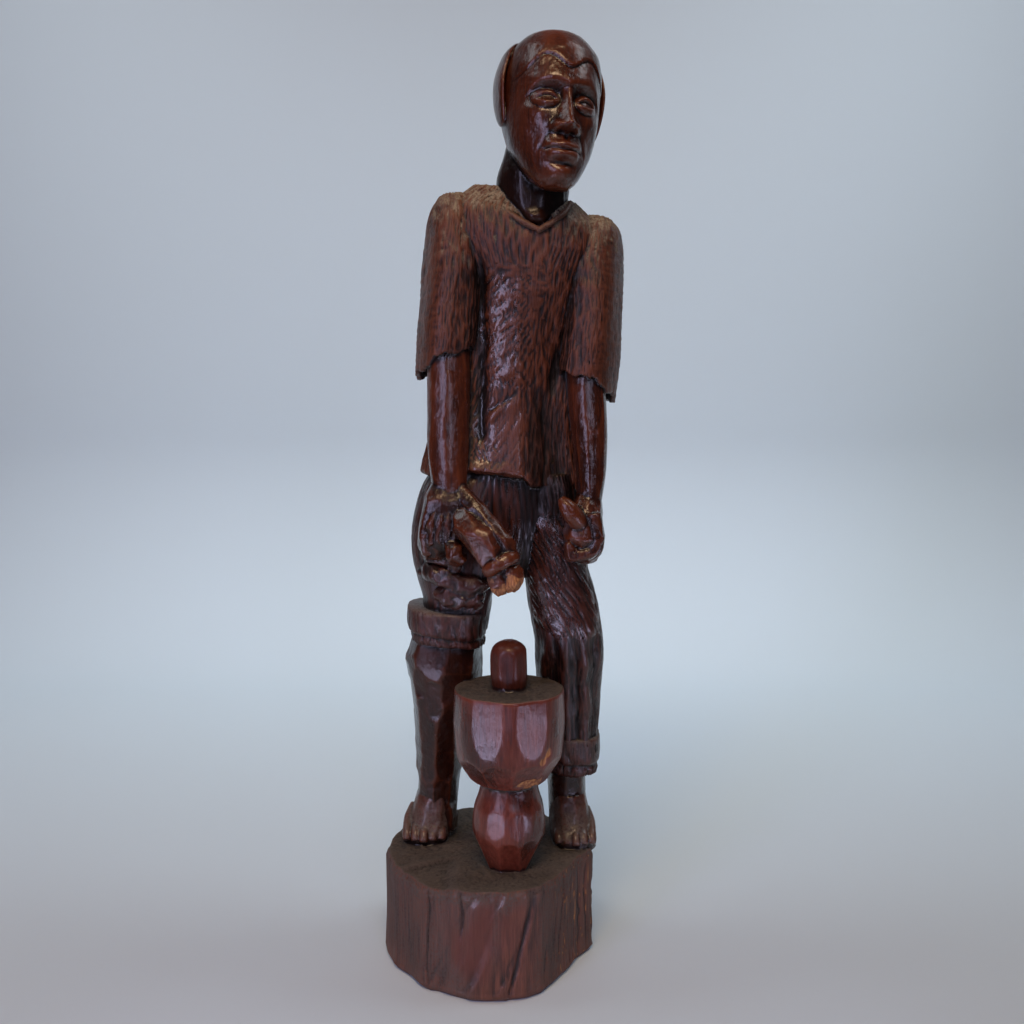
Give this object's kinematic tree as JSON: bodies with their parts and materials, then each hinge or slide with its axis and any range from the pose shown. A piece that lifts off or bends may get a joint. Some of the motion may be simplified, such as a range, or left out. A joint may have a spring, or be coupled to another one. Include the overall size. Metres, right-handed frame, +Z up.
{
  "type": "wooden statue",
  "caption": "Carved hardwood statue of a standing man in a tunic and rolled trousers, behind a mortar on a log base.",
  "frame": {"origin": "middle of the log base's flat underside", "axes": "+Z up along the figure, -Y the way the figure's chest faces, +X to the figure's left"},
  "size_m": [0.2925, 0.264, 1.0943],
  "materials": {
    "varnished_hardwood": "hand-carved hardwood, stained dark red-brown and varnished, dusty on the shoulders and on the log's top"
  },
  "bodies": {
    "root": {"statue": "varnished_hardwood"}
  },
  "joints": []
}
